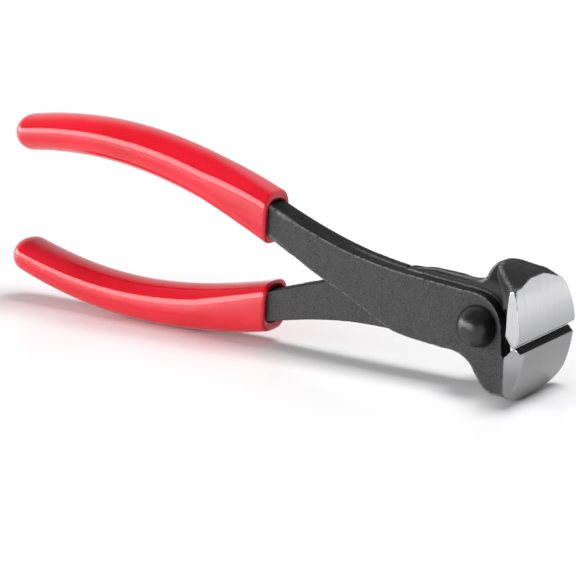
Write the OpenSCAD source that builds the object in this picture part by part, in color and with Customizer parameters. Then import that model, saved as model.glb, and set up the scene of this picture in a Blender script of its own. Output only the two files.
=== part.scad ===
// End cutting nippers: two equal drop forgings crossed on one domed rivet, with moulded grips.
// The tool stands on edge: X runs to the jaws, Y along the rivet, Z up, and the bench is z = 0.
// Each forging is drawn with its jaw up, flat, in pivot coordinates: X along the tool, Z across it.

/* [Jaws] */
// Length of the cutting edges, across the tool
jaw_w = 29.4; // [22:0.2:36]
// Distance from the rivet to the cutting edges
jaw_reach = 15.8; // [14.5:0.1:16.6]
// Distance from the cutting edges out to the front of the ground faces
lip_step = 1.65; // [1.2:0.05:2.4]
// Radius of the ground front faces
face_r = 42; // [34:1:60]
// Height at which the outer bevel meets the ground face
lip_rise = 1.5; // [0.8:0.1:2.5]
// Height of the bevel behind each cutting edge
bevel_rise = 2.9; // [2:0.1:4]
// Thickness of each blade, from its edge to its back
blade_t = 2.3; // [1.6:0.1:3]
// Width of the round-topped mouth behind the blades
mouth_w = 6; // [4.6:0.1:6.4]
// Height of the mouth above the cutting line
mouth_rise = 8; // [6.5:0.1:9.5]

/* [Head] */
// Distance from the rivet to the centre of the crown
crown_reach = 5.8; // [4.5:0.1:7]
// Height of the crown above the rivet
crown_rise = 17.6; // [16:0.1:20]
// Radius of the crown
crown_r = 5.2; // [4:0.1:6]
// Radius of the hollow neck behind the crown
neck_r = 8.3; // [7:0.1:9]
// Distance behind the rivet where the neck begins
neck_back = 7.5; // [6.5:0.1:9]
// Length of the flat foot on the crown
foot_l = 4.4; // [3:0.1:6]
// Width of the flat foot on the crown
foot_w = 8; // [6:0.2:11]
// Radius that rounds the foot over to the ground face
brow_r = 11; // [9:0.5:14]
// Radius of each flank of the crown, seen from the front
flank_r = 56; // [46:1:70]
// Slope of the flanks where they meet at the ridge
ridge_angle = 7; // [4:0.5:9]
// Radius that rounds both ends of the crown, seen from the front
jaw_end_r = 4.5; // [3:0.1:5.5]
// Radius of the flare from the joint out to the blade
flare_r = 6.5; // [5.4:0.1:7]
// Distance from the rivet to the root of the far wing
wing_root = 3; // [2:0.1:4]

/* [Joint] */
// Thickness of the two lapped plates together
joint_t = 10; // [8:0.1:12]
// Height of the plate edge on the handle side of the rivet line
plate_high = 8.45; // [7.8:0.05:9.2]
// Depth of the plate edge on the jaw side of the rivet line
plate_low = 8.95; // [8.4:0.05:9.6]
// Radius of the shoulder that turns past the other head
shoulder_r = 9; // [8.4:0.1:9.4]
// Distance from the rivet back to the centre of the shoulder
shoulder_back = 2.2; // [1.8:0.1:3]
// Radius of the room that each head leaves for the other shoulder
relief_r = 10.3; // [10:0.1:11.2]
// Diameter of the rivet shank
rivet_d = 7; // [5:0.1:8]
// Diameter of the rivet heads
rivet_head_d = 11.2; // [9.6:0.1:12.6]
// Height of the domed rivet heads
rivet_head_h = 5.5; // [3.5:0.1:6]
// Radial clearance of the shank in its bores
bore_gap = 0.05; // [0.03:0.01:0.08]
// Gap between the lapped plates, and under the rivet heads
lap_gap = 0.1; // [0.06:0.01:0.2]
// Gap between the closed cutting edges
edge_gap = 0.1; // [0.06:0.01:0.2]
// Gap between the closed stop shoulders
stop_gap = 0.12; // [0.08:0.01:0.2]

/* [Handles] */
// Distance from the rivet back to the crotch of the handles
crotch_back = 47.2; // [44:0.2:51]
// Fall of each lap edge for each millimetre of its length
lap_slope = 0.4; // [0.36:0.01:0.44]
// Thickness of a handle outside the lapped plates
tang_t = 7.8; // [6.6:0.1:9]
// Height of a handle where it enters its grip
tang_h = 7.9; // [6.8:0.1:8.6]
// Height of a handle at its hidden end
tang_end_h = 6; // [4.6:0.1:7]
// Thickness of a handle at its hidden end
tang_end_t = 5.2; // [4:0.1:6]

/* [Grips] */
// Distance from the rivet back to the rims of the grips
rim_back = 68.8; // [65:0.2:73]
// Distance from the tool's centreline to the middle of a rim
rim_rise = 13; // [12.2:0.1:13.8]
// Distance from the rivet back to the tips of the grips
tip_back = 167; // [150:0.5:184]
// Distance from the tool's centreline to the middle of a tip
tip_rise = 18.3; // [15:0.1:22]
// Height of a grip at its rim
grip_h = 14; // [12.8:0.1:15.4]
// Height of a grip near its tip
grip_end_h = 9.9; // [9:0.1:11.8]
// Thickness of a grip at its rim
grip_t = 11.7; // [11.3:0.1:14]
// Thickness of a grip near its tip
grip_end_t = 13.5; // [11:0.1:14.5]
// Length of the rounded tip of a grip
cap_l = 5.4; // [4.6:0.1:8]
// Radius of the rolled lip at the rim
lip_r = 1; // [0.7:0.05:1.2]
// Length over which the grip goes from its squarer rim to the rounder section that follows the bow
rim_turn = 23; // [16:0.5:32]
// Depth of the open mouth inside the rim
bell_l = 5; // [3.5:0.1:7]
// Wall of the grip at the bottom of that mouth
bell_wall = 1.5; // [1.3:0.05:1.8]
// Clearance between a grip and the handle inside it
sleeve_gap = 0.1; // [0.05:0.01:0.15]

/* [Hidden] */
$fn = 96;

// Run of the grip's centreline: slopes at its two ends, and the pull of its control points
rim_slope_share = 0.33;
tip_slope_share = 0.24;
pull_share = 0.355;
// Pull of the control points along the outer edge of a handle
edge_pull_share = 0.34;
// How far along the centreline the hidden end of a handle reaches
tang_end_share = 0.9;
// Exponents of the rounded section of a grip, at its rim and behind it: smaller is squarer
rim_section_share = 0.57;
back_section_share = 0.77;
// Depth of the rings down the open mouth of a grip, and how far each has gone from lip to wall
bell_depth_share = [-0.1, 0, 0.08, 0.3, 0.65, 1];
bell_inset_share = [-0.15, 0.02, 0.4, 0.7, 0.9, 1];
// Share of a rivet head's height that is its straight rim, and of the low edge's depth that is its blend
head_rim_share = 0.1;
lap_blend_share = 0.0625;
// Share of a ring's turn that stays open as the flat of a grip's tip
tip_flat_share = 0.5;
// Turn of the shoulder past the head, and angle at which the brow meets the ground face
shoulder_turn = 78;
brow_angle = 40;
// Points around a grip, rings along it, and steps along curves and arcs
ring_points = 28;
body_rings = 16;
cap_rings = 6;
lip_rings = 3;
curve_steps = 16;
arc_steps = 8;

plate_t = joint_t / 2;
half_jaw = jaw_w / 2;
face_reach = jaw_reach + lip_step;
blade_back = jaw_reach - blade_t;
mouth_r = mouth_w / 2;
mouth_front = blade_back - mouth_w;
tang_inner = tang_t - plate_t;
tang_mid = (plate_t - tang_inner) / 2;
overrun = plate_t;
// Where the plate's low edge starts, blends into the lap edge and leaves the inner layer
lap_blend = plate_low * lap_blend_share;
lap_top_back = crotch_back - (plate_low - lap_blend) / lap_slope;
plate_tail = lap_top_back - plate_t;
layer_end = lap_top_back - plate_low;

function bezier(p, s) =
    pow(1 - s, 3) * p[0] + 3 * pow(1 - s, 2) * s * p[1] + 3 * (1 - s) * s * s * p[2] + pow(s, 3) * p[3];
function bezier_slope(p, s) =
    pow(1 - s, 2) * (p[1] - p[0]) + 2 * (1 - s) * s * (p[2] - p[1]) + s * s * (p[3] - p[2]);
function unit_vector(v) = v / norm(v);
function turned(v) = [-v[1], v[0]];
function arc(centre, r, from, to) =
    [for (i = [0:arc_steps]) let (a = from + (to - from) * i / arc_steps) centre + r * [cos(a), sin(a)]];
function without_first(list) = [for (i = [1:len(list) - 1]) list[i]];

// Centreline of the lower handle and its grip, from rim to tip
bow_pull = pull_share * (tip_back - rim_back);
bow = [
    [-rim_back, -rim_rise],
    [-rim_back - bow_pull, -rim_rise - rim_slope_share * bow_pull],
    [-tip_back + bow_pull, -tip_rise - tip_slope_share * bow_pull],
    [-tip_back, -tip_rise]
];
bow_l = norm(bow[3] - bow[0]);
function bow_at(s) = bezier(bow, s);
function bow_along(s) = unit_vector(bezier_slope(bow, s));
function bow_side(s) = turned(bow_along(s));
// Share of the rim's own form that a ring still has: square to the tool, and squarer in section
function rim_form(s) = max(0, 1 - s * bow_l / rim_turn);
function ring_side(s) =
    let (along = bow_along(s), lean = rim_form(s) * along[1] / along[0])
    bow_side(s) + lean * along;
function section_at(s) = back_section_share + (rim_section_share - back_section_share) * rim_form(s);
function core_half(s) = (tang_h + (tang_end_h - tang_h) * s) / 2;
function core_edge(side, grow, from, to) =
    [for (i = [0:curve_steps]) let (s = from + (to - from) * i / curve_steps)
        bow_at(s) + side * (core_half(s) + grow) * bow_side(s)];

// Half height, half thickness and middle of the grip, whose middle goes from the handle's to the tool's
function grip_half(s) = (grip_h + (grip_end_h - grip_h) * s) / 2;
function grip_side(s) = (grip_t + (grip_end_t - grip_t) * s) / 2;
function grip_mid(s) = tang_mid * (1 - s);
// Rings from rim to tip as [place along the bow, share of the section]
lip_run = lip_r / bow_l;
cap_run = cap_l / bow_l;
outer_rings = concat(
    [for (i = [0:lip_rings]) let (a = 90 * i / lip_rings)
        [lip_run * (1 - cos(a)), 1 - (1 - sin(a)) * lip_r / grip_half(0)]],
    [for (i = [1:body_rings]) let (s = i / body_rings) [lip_run + (1 - cap_run - lip_run) * s, 1]],
    [for (i = [1:cap_rings]) let (a = 90 * i / (cap_rings + tip_flat_share))
        [1 - cap_run * (1 - sin(a)), cos(a)]]
);
belly = [for (ring = outer_rings) bow_at(ring[0]) + ring[1] * grip_half(ring[0]) * bow_side(ring[0])];
back = [for (ring = outer_rings) bow_at(ring[0]) - ring[1] * grip_half(ring[0]) * bow_side(ring[0])];

// Tilt at which the lower grip's belly and the lower crown's foot stand on one bench
crown_c = [crown_reach, crown_rise - crown_r];
function lean(p) = let (d = [crown_c[0], -crown_c[1]] - p) atan2(d[1], d[0]) - asin(crown_r / norm(d));
tilt = max([for (p = belly) lean(p)]);
bench_z = -crown_c[0] * sin(tilt) - crown_c[1] * cos(tilt) - crown_r;
front_x = (face_reach - face_r) * cos(tilt) + face_r;
tail_x = min([for (p = concat(belly, back)) p[0] * cos(tilt) + p[1] * sin(tilt)]);

// Neck: the straight run between the crown's arc and the hollow
neck_c = [-neck_back, plate_low + neck_r];
neck_d = crown_c - neck_c;
neck_angle = atan2(neck_d[1], neck_d[0]) + asin(min(1, (crown_r + neck_r) / norm(neck_d)));
// Foot and brow: the flat lies along the bench when the tool stands, and the brow rounds it off
foot_dir = [cos(tilt), -sin(tilt)];
foot_up = [sin(tilt), cos(tilt)];
foot_end = crown_c + crown_r * foot_up + foot_l * foot_dir;
brow_c = foot_end - brow_r * foot_up;
// The ridge of the two flanks stands above the flat by this much, which leaves the foot's width
ridge_over = (foot_w / 2) * tan(ridge_angle) + foot_w * foot_w / (8 * flank_r);
// Arched roof of the head from the front, about the crown's centre: a flank on each side, ends rounded
flank_c = [-flank_r * sin(ridge_angle), crown_r + ridge_over - flank_r * cos(ridge_angle)];
end_angle = acos((half_jaw - jaw_end_r - flank_c[0]) / (flank_r - jaw_end_r));
end_c = flank_c + (flank_r - jaw_end_r) * [cos(end_angle), sin(end_angle)];
front_half = concat(
    [[half_jaw, -4 * tip_rise]],
    arc(end_c, jaw_end_r, 0, end_angle),
    without_first(arc(flank_c, flank_r, end_angle, 90 - ridge_angle))
);
front_outline = concat(
    front_half,
    [for (i = [len(front_half) - 2:-1:0]) [-front_half[i][0], front_half[i][1]]]
);

// Outline of one forging from the side, jaw up: handle, plate, mouth, blade, brow, crown and neck
tang_start = bow_at(0) + core_half(0) * bow_side(0);
edge_pull = edge_pull_share * (rim_back - plate_tail);
tang_edge = [
    tang_start,
    tang_start + edge_pull * [1, rim_slope_share],
    [-plate_tail - edge_pull, -plate_high],
    [-plate_tail, -plate_high]
];
mouth_c = [mouth_front + mouth_r, mouth_rise - mouth_r];
lip_run_out = 2 * [lip_step, lip_rise];
edge_tip = [jaw_reach, edge_gap / 2];
side_outline = concat(
    core_edge(1, 0, tang_end_share, 0),
    [for (i = [1:curve_steps]) bezier(tang_edge, i / curve_steps)],
    arc([-shoulder_back, shoulder_r - plate_high], shoulder_r, -90, shoulder_turn - 90),
    arc(mouth_c, mouth_r, 180, 0),
    [[blade_back, bevel_rise], edge_tip, edge_tip + lip_run_out],
    [[edge_tip[0] + lip_run_out[0], brow_c[1] + brow_r * sin(brow_angle)]],
    arc(brow_c, brow_r, brow_angle, 90 - tilt),
    arc(crown_c, crown_r, 90 - tilt, 90 + neck_angle),
    arc(neck_c, neck_r, neck_angle - 90, -90),
    [[-plate_tail, plate_low], [-lap_top_back, plate_low - lap_blend]],
    core_edge(-1, 0, 0, tang_end_share)
);

// Outline of one forging from above: handle, lap, the wing over the other plate, blade and flare
flare_c = [blade_back - flare_r, plate_t + flare_r];
wing_start = [wing_root, lap_gap / 2];
wing_end = wing_start + (1 + overrun / half_jaw) * ([blade_back, -half_jaw] - wing_start);
side_end = half_jaw + overrun;
top_outline = concat(
    [[-tip_back, -tang_end_t / 2], [-rim_back, -tang_inner], [-layer_end, -tang_inner]],
    [[-layer_end, lap_gap / 2], wing_start, wing_end, [face_reach + overrun, wing_end[1]]],
    [[face_reach + overrun, side_end], [blade_back, side_end]],
    arc(flare_c, flare_r, 0, -90),
    [[-rim_back, plate_t], [-tip_back, tang_end_t / 2]]
);

// Extrudes a side view from one place along the rivet to another
module across(from, to) {
    translate([0, to, 0])
        rotate([90, 0, 0])
            linear_extrude(height = to - from)
                children();
}

// Sets a forging or grip, drawn flat about the rivet, on the bench
module stand() {
    translate([-(front_x + tail_x) / 2, 0, -bench_z])
        rotate([0, tilt, 0])
            children();
}

// Turns a piece of the lower handle over to the other side of the tool
module turned_over() {
    rotate([180, 0, 0])
        children();
}

module side_shape() {
    intersection() {
        polygon(side_outline);
        union() {
            translate([face_reach - face_r, 0])
                circle(r = face_r);
            translate([-2 * tip_back, -tip_back])
                square(2 * [tip_back, tip_back]);
        }
    }
}

// Long bar with the head's arched roof, which lies along the bench when the tool stands
module front_bar() {
    translate([crown_c[0], 0, crown_c[1]])
        rotate([0, tilt, 0])
            rotate([90, 0, 90])
                linear_extrude(height = 4 * tip_back, center = true)
                    polygon(front_outline);
}

// What the other forging needs beside this one: its plate, its handle and its shoulder's turn
module lap_relief() {
    far = crotch_back / 2;
    fall = far * lap_slope;
    across(-side_end, lap_gap / 2)
        translate(-stop_gap * unit_vector([lap_slope, 1]))
            polygon([
                [-crotch_back - far, fall],
                [-crotch_back, 0],
                [-layer_end + overrun / 2, -(crotch_back - layer_end + overrun / 2) * lap_slope],
                [-layer_end + overrun / 2, crown_rise],
                [-crotch_back - far, crown_rise]
            ]);
    across(-side_end, lap_gap / 2)
        circle(r = relief_r);
}

module forging() {
    difference() {
        intersection() {
            across(-side_end, side_end)
                side_shape();
            translate([0, 0, -2 * tip_rise])
                linear_extrude(height = 4 * tip_rise)
                    polygon(top_outline);
            front_bar();
        }
        lap_relief();
        across(-half_jaw, half_jaw)
            circle(r = rivet_d / 2 + bore_gap);
    }
}

module near_lever() {
    color([0.3, 0.3, 0.31])
        stand()
            turned_over()
                forging();
}

module far_lever() {
    color([0.3, 0.3, 0.31])
        stand()
            forging();
}

// Domed head on a short straight rim
module rivet_head() {
    head_r = rivet_head_d / 2;
    rim_h = rivet_head_h * head_rim_share;
    dome_h = rivet_head_h - rim_h;
    dome_r = (head_r * head_r + dome_h * dome_h) / (2 * dome_h);
    cylinder(r = head_r, h = rim_h);
    intersection() {
        translate([0, 0, rivet_head_h - dome_r])
            sphere(r = dome_r);
        cylinder(r = head_r, h = rivet_head_h);
    }
}

module rivet() {
    seat = plate_t + lap_gap;
    color([0.24, 0.24, 0.25])
        stand() {
            rotate([90, 0, 0])
                cylinder(r = rivet_d / 2, h = 2 * seat, center = true);
            for (side = [-1, 1])
                rotate([side * 90, 0, 0])
                    translate([0, 0, seat])
                        rivet_head();
        }
}

// One ring of a grip's surface, as points: rounded-square section across the bow
function power_of(c, share) = sign(c) * pow(abs(c), share);
function ring_at(s, in_plane, wide) =
    [for (i = [0:ring_points - 1])
        let (a = 360 * i / ring_points, up = in_plane * power_of(cos(a), section_at(s)))
        let (p = bow_at(s) + up * ring_side(s))
        [p[0], grip_mid(s) + wide * power_of(sin(a), section_at(s)), p[1]]];

// Closed skin over a list of rings
module skin(rings) {
    count = len(rings);
    points = [for (ring = rings) each ring];
    sides = [for (k = [0:count - 2], i = [0:ring_points - 1])
        let (a = k * ring_points + i, b = k * ring_points + (i + 1) % ring_points)
        each [[a, b, a + ring_points], [b, b + ring_points, a + ring_points]]];
    first = [for (i = [ring_points - 1:-1:0]) i];
    last = [for (i = [0:ring_points - 1]) (count - 1) * ring_points + i];
    polyhedron(points = points, faces = concat([first], sides, [last]), convexity = 4);
}

module sleeve_skin() {
    skin([for (ring = outer_rings)
        ring_at(ring[0], grip_half(ring[0]) * ring[1], grip_side(ring[0]) * ring[1])]);
}

// Flared mouth inside the rim, which leaves a dark gap around the handle
module bell() {
    skin([for (i = [0:len(bell_depth_share) - 1])
        let (inset = lip_r + (bell_wall - lip_r) * bell_inset_share[i])
        ring_at(bell_depth_share[i] * bell_l / bow_l, grip_half(0) - inset, grip_side(0) - inset)]);
}

// Room for the handle inside the grip
module handle_room() {
    reach = tip_back + sleeve_gap;
    intersection() {
        across(-half_jaw, half_jaw)
            polygon(concat(
                core_edge(1, sleeve_gap, -2 * bell_l / bow_l, tang_end_share + sleeve_gap / bow_l),
                core_edge(-1, sleeve_gap, tang_end_share + sleeve_gap / bow_l, -2 * bell_l / bow_l)
            ));
        translate([0, 0, -2 * tip_rise])
            linear_extrude(height = 2 * tip_rise)
                polygon([
                    [-reach, -tang_end_t / 2 - sleeve_gap],
                    [-rim_back, -tang_inner - sleeve_gap],
                    [-crotch_back, -tang_inner - sleeve_gap],
                    [-crotch_back, plate_t + sleeve_gap],
                    [-rim_back, plate_t + sleeve_gap],
                    [-reach, tang_end_t / 2 + sleeve_gap]
                ]);
    }
}

module sleeve() {
    difference() {
        sleeve_skin();
        bell();
        handle_room();
    }
}

module upper_grip() {
    color([0.88, 0.1, 0.13])
        stand()
            turned_over()
                sleeve();
}

module lower_grip() {
    color([0.88, 0.1, 0.13])
        stand()
            sleeve();
}

near_lever();
far_lever();
rivet();
upper_grip();
lower_grip();
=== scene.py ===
"""Looks of the end cutting nippers: dark forgings on one rivet, ground jaws and glossy red grips.

Lengths are in millimetres unless a name or docstring says otherwise. Each forging and grip is
shaped flat about the rivet, with its jaw up: u runs to the jaws, w along the rivet and v across
the tool. Every place or direction in an array of points is a row of u, w, v.
"""

from __future__ import annotations

import logging
import math
from dataclasses import dataclass, field
from enum import Enum

import bpy
import numpy as np
from mathutils import Matrix, Vector


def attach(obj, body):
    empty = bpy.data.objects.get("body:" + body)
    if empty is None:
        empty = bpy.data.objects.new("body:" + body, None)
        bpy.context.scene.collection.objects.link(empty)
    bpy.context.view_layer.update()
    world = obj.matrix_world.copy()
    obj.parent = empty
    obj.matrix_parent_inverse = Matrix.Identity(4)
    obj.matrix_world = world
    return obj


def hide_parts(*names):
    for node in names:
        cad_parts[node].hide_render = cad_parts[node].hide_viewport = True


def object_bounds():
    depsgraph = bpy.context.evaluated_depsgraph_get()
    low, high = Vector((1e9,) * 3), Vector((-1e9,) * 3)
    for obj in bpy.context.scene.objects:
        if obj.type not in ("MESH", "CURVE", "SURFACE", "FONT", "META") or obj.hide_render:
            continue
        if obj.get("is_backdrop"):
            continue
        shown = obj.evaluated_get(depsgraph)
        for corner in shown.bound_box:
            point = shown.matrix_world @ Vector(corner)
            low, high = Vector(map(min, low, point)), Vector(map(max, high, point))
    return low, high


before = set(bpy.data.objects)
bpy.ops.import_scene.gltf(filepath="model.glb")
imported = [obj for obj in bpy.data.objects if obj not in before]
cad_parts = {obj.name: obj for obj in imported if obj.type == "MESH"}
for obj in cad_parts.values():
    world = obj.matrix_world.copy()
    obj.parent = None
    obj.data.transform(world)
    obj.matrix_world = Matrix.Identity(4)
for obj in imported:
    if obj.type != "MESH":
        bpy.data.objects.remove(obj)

LOG = logging.getLogger("nippers")
MM = 0.001
FULL_TURN = 2.0 * math.pi

Socket = bpy.types.NodeSocket
Pair = tuple[float, float]
Triple = tuple[float, float, float]
Colour = tuple[float, float, float, float]


class Side(Enum):
    """Which way up a forging or grip lies in the standing tool."""

    JAW_UP = 1.0
    JAW_DOWN = -1.0


@dataclass(frozen=True)
class Stand:
    """How the tool stands on the bench: turned about its rivet."""

    tilt: float = math.radians(5.41605)
    pivot: Triple = (75.3131, 0.0, 18.0921)

    def to_row(self, points: np.ndarray, side: Side) -> np.ndarray:
        """Turns flat points into places in the row frame.

        Args:
            points: Flat points.
            side: Which way up the piece lies.

        Returns:
            Places in metres in the row frame.
        """
        u, w, v = points[:, 0], points[:, 1] * side.value, points[:, 2] * side.value
        c, s = math.cos(self.tilt), math.sin(self.tilt)
        turned = np.stack([u * c + v * s, w, v * c - u * s], axis=1)
        return (turned + np.array(self.pivot)) * MM

    def to_flat(self, places: np.ndarray, side: Side) -> np.ndarray:
        """Turns places in the row frame into flat points.

        Args:
            places: Places in metres in the row frame.
            side: Which way up the piece lies.

        Returns:
            Flat points.
        """
        d = places / MM - np.array(self.pivot)
        c, s = math.cos(self.tilt), math.sin(self.tilt)
        u = d[:, 0] * c - d[:, 2] * s
        v = d[:, 0] * s + d[:, 2] * c
        return np.stack([u, d[:, 1] * side.value, v * side.value], axis=1)


STAND = Stand()


@dataclass(frozen=True)
class Span:
    """A stretch of one measure, over which a share rises or falls smoothly."""

    low: float
    high: float

    def rise(self, values: np.ndarray) -> np.ndarray:
        """Gives 0 below the stretch and 1 above it."""
        t = np.clip((values - self.low) / (self.high - self.low), 0.0, 1.0)
        return t * t * (3.0 - 2.0 * t)

    def fall(self, values: np.ndarray) -> np.ndarray:
        """Gives 1 below the stretch and 0 above it."""
        return 1.0 - self.rise(values)


@dataclass(frozen=True)
class Band:
    """A band of one measure, over which a share rises to 1 and falls again smoothly."""

    low: float
    full: float
    fading: float
    high: float

    def share(self, values: np.ndarray) -> np.ndarray:
        """Gives 1 in the middle of the band and 0 outside it."""
        return Span(self.low, self.full).rise(values) * Span(self.fading, self.high).fall(values)


@dataclass(frozen=True)
class Unevenness:
    """Seeded soft unevenness of a surface, as a sum of waves."""

    seed: int
    shortest: float
    longest: float
    waves: int = 28

    def at(self, points: np.ndarray) -> np.ndarray:
        """Value at each point.

        Args:
            points: Flat points.

        Returns:
            Values of about -1 to 1.
        """
        draw = np.random.default_rng(self.seed)
        way = draw.normal(size=(self.waves, 3))
        way /= np.linalg.norm(way, axis=1)[:, None]
        length = draw.uniform(self.shortest, self.longest, self.waves)
        start = draw.uniform(0.0, FULL_TURN, self.waves)
        phase = points @ (way * (FULL_TURN / length)[:, None]).T + start
        return np.sin(phase).sum(axis=1) / math.sqrt(self.waves)


def grey(value: float) -> Colour:
    """Neutral colour of one linear value."""
    return (value, value, value * 1.01, 1.0)


def sized(size: float) -> float:
    """Noise scale, in features a metre, that gives features of one size."""
    return 1.0 / (size * MM)


@dataclass(frozen=True)
class Pattern:
    """A soft noise, and the stretch of its values that becomes 0 to 1.

    Its scale counts features for each unit of the coordinates.
    """

    scale: float
    octaves: float
    clear: Span = Span(0.0, 1.0)


class Nodes:
    """Builds the node tree of one material or of the world."""

    def __init__(self, owner: bpy.types.Material | bpy.types.World) -> None:
        """Empties the owner's tree.

        Args:
            owner: The material or world.
        """
        owner.use_nodes = True
        self.owner = owner
        self.tree = owner.node_tree
        self.tree.nodes.clear()

    def add(
        self, kind: str, links: dict[str | int, object] | None = None, **settings: object
    ) -> bpy.types.Node:
        """Adds a node.

        Args:
            kind: Node type without its ShaderNode prefix.
            links: Socket name or index to a value or an output socket.
            **settings: Properties of the node.

        Returns:
            The new node.
        """
        node = self.tree.nodes.new("ShaderNode" + kind)
        for key, value in settings.items():
            setattr(node, key, value)
        for key, value in (links or {}).items():
            if isinstance(value, Socket):
                self.tree.links.new(value, node.inputs[key])
            else:
                node.inputs[key].default_value = value
        return node

    def math(self, operation: str, a: object, b: object = 0.0, clamp: bool = False) -> Socket:
        """Works out two values or sockets, and may clamp the result to 0..1."""
        return self.add("Math", {0: a, 1: b}, operation=operation, use_clamp=clamp).outputs[0]

    def mix(self, share: object, a: object, b: object) -> Socket:
        """Mixes two colours, with the given share of the second."""
        return self.add("Mix", {0: share, 6: a, 7: b}, data_type="RGBA").outputs[2]

    def blend(self, share: object, a: object, b: object) -> Socket:
        """Mixes two numbers, with the given share of the second."""
        return self.add("Mix", {0: share, 2: a, 3: b}, data_type="FLOAT").outputs[0]

    def scaled(self, place: Socket, scale: Triple) -> Socket:
        """Stretches coordinates along their axes."""
        return self.add("Mapping", {"Vector": place, "Scale": scale}).outputs[0]

    def noise(self, place: Socket, pattern: Pattern) -> Socket:
        """Gives the plain value of a pattern's noise at a place."""
        links = {"Vector": place, "Scale": pattern.scale, "Detail": pattern.octaves}
        return self.add("TexNoise", links).outputs[0]

    def stretch(
        self, value: Socket, span: Span, low: float = 0.0, high: float = 1.0, **settings: object
    ) -> Socket:
        """Maps a span of values to low..high, clamped.

        Args:
            value: The value.
            span: The values that give low and high.
            low: What the span's first value becomes.
            high: What the span's last value becomes.
            **settings: Properties of the node.

        Returns:
            The mapped value.
        """
        links = {
            "Value": value, "From Min": span.low, "From Max": span.high,
            "To Min": low, "To Max": high,
        }
        return self.add("MapRange", links, clamp=True, **settings).outputs[0]

    def clear(self, value: Socket, pattern: Pattern, top: float = 1.0) -> Socket:
        """Stretches a pattern's plain value to 0..top."""
        return self.stretch(value, pattern.clear, 0.0, top)

    def share(self, name: str) -> Socket:
        """Reads a number kept on the mesh."""
        return self.add("Attribute", attribute_name=name).outputs["Fac"]

    def relief(self, height: Socket, strength: float, depth: float) -> Socket:
        """Turns heights into a bumped surface direction."""
        links = {"Height": height, "Strength": strength, "Distance": depth * MM}
        return self.add("Bump", links).outputs[0]

    def seen(self) -> Socket:
        """Tells rays that look or mirror from those that gather matt light.

        Returns:
            1 for a ray that looks or mirrors, and 0 for the others.
        """
        path = self.add("LightPath").outputs
        either = self.math("MAXIMUM", path["Is Camera Ray"], path["Is Glossy Ray"])
        return self.math("MAXIMUM", either, path["Is Transmission Ray"])

    def surface(self, shader: Socket) -> bpy.types.Material:
        """Puts a shader on the surface and returns the material."""
        self.add("OutputMaterial", {"Surface": shader})
        return self.owner


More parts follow.
